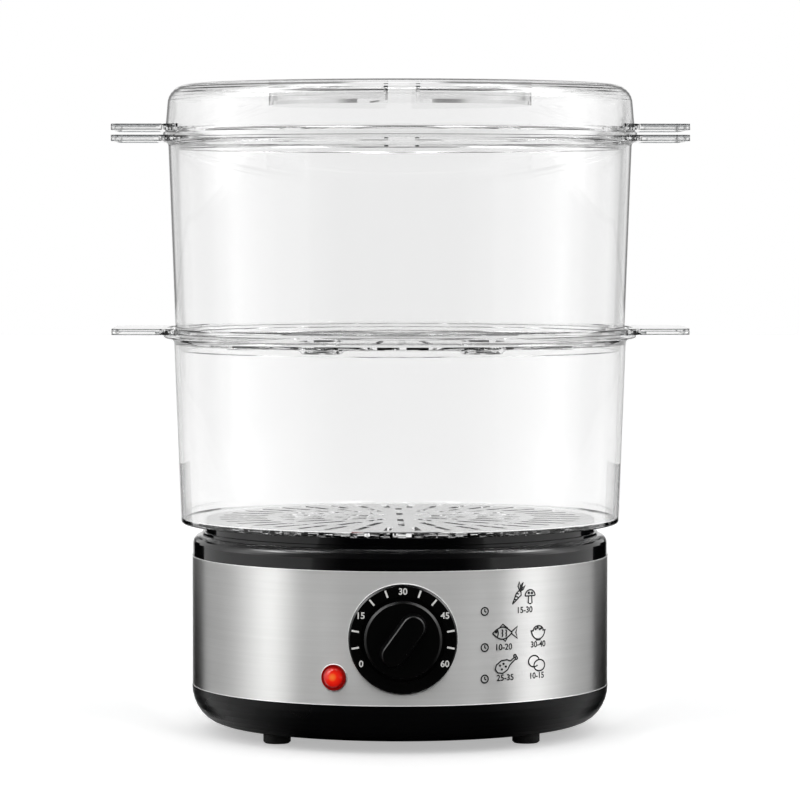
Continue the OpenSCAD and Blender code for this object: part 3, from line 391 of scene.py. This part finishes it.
egg_sign = [                           # two eggs, one before the other
    ellipse((-0.28, 0.2), 0.62, 0.5, 20, 312),
    ellipse((0.36, -0.2), 0.64, 0.5),
]
clock_sign = [
    ellipse((0, 0), 1, 1),
    [(0, 0.62), (0, 0), (0.45, -0.25)],
]
# Lines of a sign, its arc from the front, its height on the band and half its size
guide = [
    (root_sign, 0.0560, 0.0700, 0.0054),
    (mushroom_sign, 0.0572, 0.0698, 0.0054),
    (fish_sign, 0.0472, 0.0529, 0.0064),
    (bowl_sign, 0.0653, 0.0525, 0.0045),
    (drumstick_sign, 0.0475, 0.0386, 0.0058),
    (egg_sign, 0.0642, 0.0385, 0.0050),
    *[(clock_sign, 0.0370, height, 0.0017) for height in (0.0629, 0.0469, 0.0330)],
]
minutes = [
    ("15-30", 0.0578, 0.0627), ("10-20", 0.0467, 0.0468), ("30-40", 0.0653, 0.0470),
    ("25-35", 0.0472, 0.0332), ("10-15", 0.0647, 0.0331),
]

# Printing ink: flat black, a little uneven in patches of 1.2 mm
black_ink = new_material("screen printing ink, black", "#0c0c0e", IOR=1.5, Roughness=0.5)
patterned(black_ink, 0.0012, tint=("#0a0a0c", "#151517"))
patterned(black_ink, 0.0006, gloss=(0.4, 0.6))
strips = [solid_strip(np.asarray(line) * size + (arc, height), LINE_W)
          for lines, arc, height, size in guide for line in lines]
figures = [lettering(text, FIGURE_H, (arc, height)) for text, arc, height in minutes]
flat, faces = joined(strips + figures)
points, _ = round_band(flat[:, 0], flat[:, 1], INK_LIFT + flat[:, 2])
new_piece("cooking_guide", points, faces, black_ink, "base")


# ---- Dial and knob ----
# The dial is a fixed black ABS disc with its minute scale printed in white. The knob is the same
# plastic, pressed on the timer's shaft.

SCALE_TURN = math.radians(240)         # from 0 to 60 minutes
TICK_IN, TICK_OUT, TICK_W = 0.0196, 0.0229, 0.0008
FIGURES_R = 0.0212                     # from the dial's axis to the middle of a figure
SCALE_FIGURE_H = 0.0029

# Fine matt face, eroded in grains of 0.3 mm
dial_black = new_material("ABS, moulded, fine matt black", "#050505",
                          IOR=1.5, Roughness=0.24, Specular_IOR_Level=0.35)
patterned(dial_black, 0.0003, depth=0.000004)
patterned(dial_black, 0.01, gloss=(0.2, 0.28))
dress(dial_black, "dial_plate")

# Smoother skin than the dial's, with soft lights along the skirt and the grip
knob_black = new_material("ABS, moulded, satin black", "#050505",
                          IOR=1.5, Roughness=0.32, Specular_IOR_Level=0.26)
patterned(knob_black, 0.008, gloss=(0.28, 0.36))
patterned(knob_black, 0.004, depth=0.00001)
dress(knob_black, "timer_knob")


def at_minute(minute):
    """Direction of a minute on the dial; half of the scale is straight up."""
    turn = (minute / 60 - 0.5) * SCALE_TURN
    return np.array([math.sin(turn), math.cos(turn)])


# Printing ink: clean white, a little thin in patches of 1.2 mm
white_ink = new_material("screen printing ink, white", "#e9e9e6", IOR=1.5, Roughness=0.45)
patterned(white_ink, 0.0012, tint=("#dcdcd8", "#f2f2f0"))
patterned(white_ink, 0.0006, gloss=(0.4, 0.55))
ticks = [solid_strip([at_minute(m) * TICK_IN, at_minute(m) * TICK_OUT], TICK_W)
         for m in range(0, 61, 5) if m % 15]
figures = [lettering(str(m), SCALE_FIGURE_H, at_minute(m) * FIGURES_R) for m in range(0, 61, 15)]
flat, faces = joined(ticks + figures)
points = np.column_stack([flat[:, 0], dial_low.y - INK_LIFT - flat[:, 2], dial_z + flat[:, 1]])
new_piece("minute_scale", points, faces, white_ink, "base")


# ---- Indicator lamp ----
# A neon bulb in a steel clip behind a red polystyrene lens, which is pushed into its hole in the
# band. The bulb lights the lens from behind.

GLOW_R = 0.0050                        # the light has faded at this distance
GLOW_OUT = 0.0026                      # its brightest point stands this far out from the band
GLOW_ASIDE = 0.0004                    # and this far to the right of the lens's axis and above it
GLOW = [(0.0, "#ffd060"), (0.2, "#ff9a40"), (0.44, "#ee2a14"),
        (0.76, "#c4100c"), (0.92, "#4a0404"), (1.0, "#2a0102")]
glow_at = ((band_r + GLOW_OUT) * math.sin(LAMP_TURN) + GLOW_ASIDE,
           -(band_r + GLOW_OUT) * math.cos(LAMP_TURN), lens_z + GLOW_ASIDE)

# Clear red moulding: yellow where the bulb is close, then red, then dark at its rim
red_lens = new_material("polystyrene, moulded, clear red", "#8c0c08", IOR=1.5, Roughness=0.05,
                        Specular_IOR_Level=0.35, Emission_Strength=0.7)
tree = red_lens.node_tree
place = add_node(tree, "ShaderNodeTexCoord").outputs["Object"]
centred = add_node(tree, "ShaderNodeMapping", {
    "Vector": place, "Location": tuple(-v / GLOW_R for v in glow_at), "Scale": (1 / GLOW_R,) * 3})
away = add_node(tree, "ShaderNodeVectorMath", {0: centred.outputs[0]}, operation="LENGTH")
glow = add_node(tree, "ShaderNodeValToRGB", {"Fac": away.outputs["Value"]})
while len(glow.color_ramp.elements) < len(GLOW):
    glow.color_ramp.elements.new(1.0)
for stop, (distance, colour) in zip(glow.color_ramp.elements, GLOW):
    stop.position = distance
    stop.color = linear(colour)
tree.links.new(glow.outputs[0], tree.nodes["Principled BSDF"].inputs["Emission Color"])
dress(red_lens, "lamp_lens")

# Bulb that glows orange right through
bulb_glass = new_material("soda glass, neon filled", "#ffb48a", IOR=1.5, Roughness=0.05,
                          Emission_Color=linear("#ff6a2a"), Emission_Strength=1.5)
patterned(bulb_glass, 0.002, tint=("#ffa070", "#ffc4a0"))
dress(bulb_glass, "lamp_bulb")


# ---- Baskets and lid ----
# Injection moulded SAN, clear as glass. Each piece nests in the rim below it and is lifted by
# its two ears.

GREY_FROM = 0.84                       # how far a wall turns away before its painted grey starts
LEVEL_CLEAR, LEVEL_GREY = 0.99, 0.9    # how level a face is, from clear as a floor to a wall

# Walls that face the eye are bright. Those that turn away, as at rims and outlines, go grey:
# painted shade in the base colour, standing in for the dark room that they reflect and bend; level
# faces stay clear
clear_plastic = new_material("SAN, moulded, clear", "#fdfdfd",
                             IOR=1.5, Roughness=0.01, Transmission_Weight=1.0)
tree = clear_plastic.node_tree
shader = tree.nodes["Principled BSDF"]
slope = add_node(tree, "ShaderNodeLayerWeight", {"Blend": 0.5})
glancing = add_node(tree, "ShaderNodeMapRange", {
    "Value": slope.outputs["Facing"], "From Min": GREY_FROM, "From Max": 1.0},
    interpolation_type="SMOOTHSTEP")
normal = add_node(tree, "ShaderNodeNewGeometry").outputs["Normal"]
facing = add_node(tree, "ShaderNodeSeparateXYZ", {0: normal})
level = add_node(tree, "ShaderNodeMath", {0: facing.outputs["Z"]}, operation="ABSOLUTE")
painted_edge_grey = add_node(tree, "ShaderNodeMapRange", {
    "Value": level.outputs[0], "From Min": LEVEL_CLEAR, "From Max": LEVEL_GREY,
    "To Max": glancing.outputs[0]})
# Painted shade: the base colour turns grey where a wall turns away, as a painted reflection of the
# dark room
mix = add_node(tree, "ShaderNodeMix", {
    "Factor": painted_edge_grey.outputs[0], "A": linear("#fbfbfb"), "B": linear("#868788")},
    data_type="RGBA")
tree.links.new(mix.outputs["Result"], shader.inputs["Base Color"])
# Thin walls cast hardly any shadow: light goes straight through them and stays nearly whole
passed = add_node(tree, "ShaderNodeBsdfTransparent", {"Color": linear("#eceff0")})
shade = add_node(tree, "ShaderNodeLightPath")
either = add_node(tree, "ShaderNodeMixShader", {
    0: shade.outputs["Is Shadow Ray"], 1: shader.outputs[0], 2: passed.outputs[0]})
tree.links.new(either.outputs[0], tree.nodes["Material Output"].inputs["Surface"])
dress(clear_plastic, "lower_basket", "upper_basket", "lid")

EAR_ROOT = 0.1085                      # from the middle to where an ear's edge starts
EAR_HALF_W = 0.0300
EAR_TURN, ROOT_TURN = 0.0060, 0.0010   # radii of the corners at the tip and at the root
EAR_EDGE_R = 0.00026
TURN_STEPS = 9                         # points round a corner


def ear_outline(tip):
    """Rounded rectangle seen from above: four arcs, joined by their straight chords, with the
    outward direction at each point."""
    reach, half_w = tip - EAR_EDGE_R, EAR_HALF_W - EAR_EDGE_R
    path, out = [], []
    for start, turn_r, x, y in (
            (-90, EAR_TURN, reach - EAR_TURN, EAR_TURN - half_w),
            (0, EAR_TURN, reach - EAR_TURN, half_w - EAR_TURN),
            (90, ROOT_TURN, EAR_ROOT + ROOT_TURN, half_w - ROOT_TURN),
            (180, ROOT_TURN, EAR_ROOT + ROOT_TURN, ROOT_TURN - half_w)):
        t = np.radians(np.linspace(start, start + 90, TURN_STEPS))
        out.append(np.column_stack([np.cos(t), np.sin(t), np.zeros_like(t)]))
        path.append(out[-1] * turn_r + (x, y, 0))
    return np.concatenate(path), np.concatenate(out)


# Rounded edges of the ears, as fine beads whose grey base colour is a painted reflection of the
# dark of the room
painted_grey_bead = new_material("SAN, moulded, rounded edge", "#b2b4b5",
                         IOR=1.1, Roughness=0.05, Transmission_Weight=1.0)
patterned(painted_grey_bead, 0.004, tint=("#a9abac", "#bbbdbe"))
for name, body in (("lower_basket", "lower"), ("upper_basket", "upper"), ("lid", "cover")):
    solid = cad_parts[name].data
    corners = np.zeros(len(solid.vertices) * 3)
    solid.vertices.foreach_get("co", corners)
    corners = corners.reshape(-1, 3)
    tip = corners[:, 0].max()
    ear_z = corners[corners[:, 0] > tip - EAR_TURN, 2]
    path, out = ear_outline(tip)
    beads = [edge_line(path * (side, 1, 1) + (0, 0, height), out * (side, 1, 1), EAR_EDGE_R)
             for side in (-1, 1)
             for height in (ear_z.min() + EAR_EDGE_R, ear_z.max() - EAR_EDGE_R)]
    points, faces = joined(beads)
    new_piece(f"{name}_ear_edges", points, faces, painted_grey_bead, body)


# ---- Studio ----
# White room and white paper floor, with soft lamps at both sides and above. Black felt that only
# reflections see keeps the black plastics black and draws the dark edges of the steel.

CARD_LIFT = 0.001                      # felt lies this far above the paper
BAR_H = 0.105                          # low bars of felt beside the base
BAR_AWAY = 0.3
BAR_ENDS = {-1: (123, 147), 1: (117, 147)}     # degrees from the front, left and right
MAT_NEAR = 0.096                       # felt between a bar and the base starts here
MAT_ENDS = (68, 84)
FRONT_NEAR, FRONT_FAR = (0.1, -0.02), (5.9, -5.9)     # half width and place of the front mat's ends
FELT_FADE = (0.5, 1.2)                 # radians from the front, between which it turns to paper


def bearing(azimuth, distance, height):
    """Point at an azimuth in degrees, counted from the front to the right."""
    turn = math.radians(azimuth)
    return math.sin(turn) * distance, -math.cos(turn) * distance, height


def card(name, corners, material, mirrored_only=True):
    """Flat studio card with four corners. One that is only mirrored is hidden from all rays but
    reflections."""
    mesh = bpy.data.meshes.new(name)
    mesh.from_pydata([tuple(float(v) for v in c) for c in corners], [], [(0, 1, 2, 3)])
    mesh.materials.append(material)
    shown = bpy.data.objects.new(name, mesh)
    bpy.context.scene.collection.objects.link(shown)
    if mirrored_only:
        shown.visible_camera = shown.visible_diffuse = shown.visible_shadow = False
        shown.visible_transmission = shown.visible_volume_scatter = False


# Felt bars beside the base, and felt before them, for the dark strips at the steel's sides
dark_felt = new_material("felt, black", "#0c0c0c", Roughness=1.0, Specular_IOR_Level=0.0)
for side, word in ((-1, "left"), (1, "right")):
    a, b = [bearing(side * turn, BAR_AWAY, 0) for turn in BAR_ENDS[side]]
    card(f"bar_{word}", [a, b, (*b[:2], BAR_H), (*a[:2], BAR_H)], dark_felt)
    near = [bearing(side * turn, MAT_NEAR, CARD_LIFT) for turn in MAT_ENDS]
    card(f"bar_mat_{word}", [*near, (*b[:2], CARD_LIFT), (*a[:2], CARD_LIFT)], dark_felt)

# Felt on the floor in front, which fades to paper at its sides
faded_felt = new_material("felt, black, faded to paper", "#0a0a0a",
                          Roughness=1.0, Specular_IOR_Level=0.0)
tree = faded_felt.node_tree
spot = add_node(tree, "ShaderNodeSeparateXYZ", {
    0: add_node(tree, "ShaderNodeTexCoord").outputs["Object"]})
span = add_node(tree, "ShaderNodeMath", {0: spot.outputs["X"]}, operation="ABSOLUTE")
ahead = add_node(tree, "ShaderNodeMath", {0: spot.outputs["Y"], 1: -1.0}, operation="MULTIPLY")
swing = add_node(tree, "ShaderNodeMath", {0: span.outputs[0], 1: ahead.outputs[0]},
                 operation="ARCTAN2")
faded = add_node(tree, "ShaderNodeMapRange", {
    "Value": swing.outputs[0], "From Min": FELT_FADE[0], "From Max": FELT_FADE[1]},
    interpolation_type="SMOOTHSTEP")
mix = add_node(tree, "ShaderNodeMix", {
    "Factor": faded.outputs[0], "A": linear("#0a0a0a"), "B": linear("#e6e6e6")},
    data_type="RGBA")
tree.links.new(mix.outputs["Result"], tree.nodes["Principled BSDF"].inputs["Base Color"])
(near_x, near_y), (far_x, far_y) = FRONT_NEAR, FRONT_FAR
card("front_mat", [(-near_x, near_y, CARD_LIFT), (near_x, near_y, CARD_LIFT),
                   (far_x, far_y, CARD_LIFT), (-far_x, far_y, CARD_LIFT)], faded_felt)

# Paper, which also glows a little to the camera and to the clear parts, so that it is white
FLOOR_HALF = 6.0
FLOOR_FILL = 0.42
paper = new_material("paper, white", "#e6e6e6", Roughness=0.9, Emission_Color=(1, 1, 1, 1))
tree = paper.node_tree
seen = add_node(tree, "ShaderNodeLightPath")
direct = add_node(tree, "ShaderNodeMath", {
    0: seen.outputs["Is Camera Ray"], 1: seen.outputs["Is Transmission Ray"]},
    operation="MAXIMUM")
fill = add_node(tree, "ShaderNodeMath", {0: direct.outputs[0], 1: FLOOR_FILL},
                operation="MULTIPLY")
tree.links.new(fill.outputs[0], tree.nodes["Principled BSDF"].inputs["Emission Strength"])
card("floor", [(-FLOOR_HALF, -FLOOR_HALF, 0), (FLOOR_HALF, -FLOOR_HALF, 0),
               (FLOOR_HALF, FLOOR_HALF, 0), (-FLOOR_HALF, FLOOR_HALF, 0)],
     paper, mirrored_only=False)

# Light of the room in reflections: degrees from the front, strength low down and high up
ROOM = [(0, 0.03, 0.03), (28, 0.05, 0.04), (50, 0.35, 0.12), (64, 0.6, 0.5), (76, 1.1, 3.8),
        (86, 1.6, 11.0), (96, 2.1, 6.0), (108, 1.3, 1.0), (120, 0.8, 0.5), (134, 0.75, 0.25),
        (158, 0.85, 0.25), (165, 0.28, 0.25), (169, 0.28, 0.25), (173, 1.0, 1.0)]
ROOM_TOP = 12.0                        # strength that the ramps show as 1
ROOM_LOW, ROOM_HIGH = 0.25, 0.65       # rise of a ray, as the sine of its angle, for the two
ROOM_DIFFUSE = 0.72                    # strength of the room as plain light
world = bpy.data.worlds.new("studio")
bpy.context.scene.world = world
world.use_nodes = True
tree = world.node_tree
tree.nodes.clear()
heading = add_node(tree, "ShaderNodeTexCoord")
split = add_node(tree, "ShaderNodeSeparateXYZ", {0: heading.outputs["Generated"]})
across = add_node(tree, "ShaderNodeMath", {0: split.outputs["X"]}, operation="ABSOLUTE")
front = add_node(tree, "ShaderNodeMath", {0: split.outputs["Y"], 1: -1.0}, operation="MULTIPLY")
azimuth = add_node(tree, "ShaderNodeMath", {0: across.outputs[0], 1: front.outputs[0]},
                   operation="ARCTAN2")
turn = add_node(tree, "ShaderNodeMath", {0: azimuth.outputs[0], 1: 1 / math.pi},
                operation="MULTIPLY")
ramps = []
for column in (1, 2):
    ramp = add_node(tree, "ShaderNodeValToRGB", {"Fac": turn.outputs[0]})
    ramp.color_ramp.interpolation = "EASE"
    while len(ramp.color_ramp.elements) < len(ROOM):
        ramp.color_ramp.elements.new(1.0)
    for stop, row in zip(ramp.color_ramp.elements, ROOM):
        stop.position = row[0] / 180
        stop.color = (*[row[column] / ROOM_TOP] * 3, 1)
    ramps.append(ramp.outputs[0])
lift = add_node(tree, "ShaderNodeMapRange", {
    "Value": split.outputs["Z"], "From Min": ROOM_LOW, "From Max": ROOM_HIGH},
    interpolation_type="SMOOTHSTEP")
both = add_node(tree, "ShaderNodeMix", {
    "Factor": lift.outputs[0], "A": ramps[0], "B": ramps[1]}, data_type="RGBA")
mirrored = add_node(tree, "ShaderNodeMath", {0: both.outputs["Result"], 1: ROOM_TOP},
                    operation="MULTIPLY")
# The camera and the clear parts see plain white, reflections the ramps, and the rest a grey
seen = add_node(tree, "ShaderNodeLightPath")
direct = add_node(tree, "ShaderNodeMath", {
    0: seen.outputs["Is Camera Ray"], 1: seen.outputs["Is Transmission Ray"]},
    operation="MAXIMUM")
plain = add_node(tree, "ShaderNodeMix", {
    "Factor": direct.outputs[0], "A": ROOM_DIFFUSE, "B": 1.0}, data_type="FLOAT")
strength = add_node(tree, "ShaderNodeMix", {
    "Factor": seen.outputs["Is Glossy Ray"], "A": plain.outputs[0], "B": mirrored.outputs[0]},
    data_type="FLOAT")
room = add_node(tree, "ShaderNodeBackground", {
    "Color": (1, 1, 1, 1), "Strength": strength.outputs[0]})
add_node(tree, "ShaderNodeOutputWorld", {"Surface": room.outputs[0]})

AIM_Z = 0.12                           # side and top lamps point at this height
SCREEN_AIM_Z = 0.045                   # the front screen points at the steel


def soft_box(name, azimuth, distance, height, size, power, aim=AIM_Z):
    """Area lamp of a power in watts, which faces the object's axis from an azimuth in degrees,
    counted from the front. It lights surfaces, and shows in no reflection."""
    lamp = bpy.data.lights.new(name, "AREA")
    lamp.shape = "RECTANGLE"
    lamp.size, lamp.size_y = size
    lamp.energy = power
    shown = bpy.data.objects.new(name, lamp)
    shown.location = bearing(azimuth, distance, height)
    toward = Vector((0, 0, aim)) - shown.location
    shown.rotation_euler = toward.to_track_quat("-Z", "Y").to_euler()
    bpy.context.scene.collection.objects.link(shown)
    shown.visible_camera = shown.visible_transmission = shown.visible_glossy = False
    return shown


soft_box("box_left", -82, 1.2, 0.45, (0.75, 1.1), 2.2)
soft_box("box_right", 82, 1.2, 0.45, (0.75, 1.1), 2.0)
soft_box("box_top", 0, 0.5, 1.4, (1.2, 0.8), 3.0)
# Wide screen in front that lights the steel alone, so that the black parts beside it stay black
screen = soft_box("screen_front", 0, 0.9, 0.75, (2.3, 1.4), 18.5, aim=SCREEN_AIM_Z)
screen.visible_glossy = True
steel_parts = bpy.data.collections.new("steel in the screen's light")
steel_parts.objects.link(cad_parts["steel_band"])
steel_parts.objects.link(band_edges)
screen.light_linking.receiver_collection = steel_parts


# ---- Camera ----
# Long lens at the height of the upper basket, a little left of the middle and looking slightly
# down.

CAMERA_AT = (-0.026, -1.9, 0.2395)
AIM = (0.0, 0.0, 0.152)
LENS, SENSOR = 185.9, 36               # mm
camera_data = bpy.data.cameras.new("camera")
camera_data.lens = LENS
camera_data.sensor_width = SENSOR
camera_data.clip_start = 0.05
camera_data.clip_end = 50
camera = bpy.data.objects.new("camera", camera_data)
camera.location = CAMERA_AT
toward = Vector(AIM) - Vector(CAMERA_AT)
camera.rotation_euler = toward.to_track_quat("-Z", "Y").to_euler()
bpy.context.scene.collection.objects.link(camera)
bpy.context.scene.camera = camera
bpy.context.scene.view_settings.view_transform = "Standard"
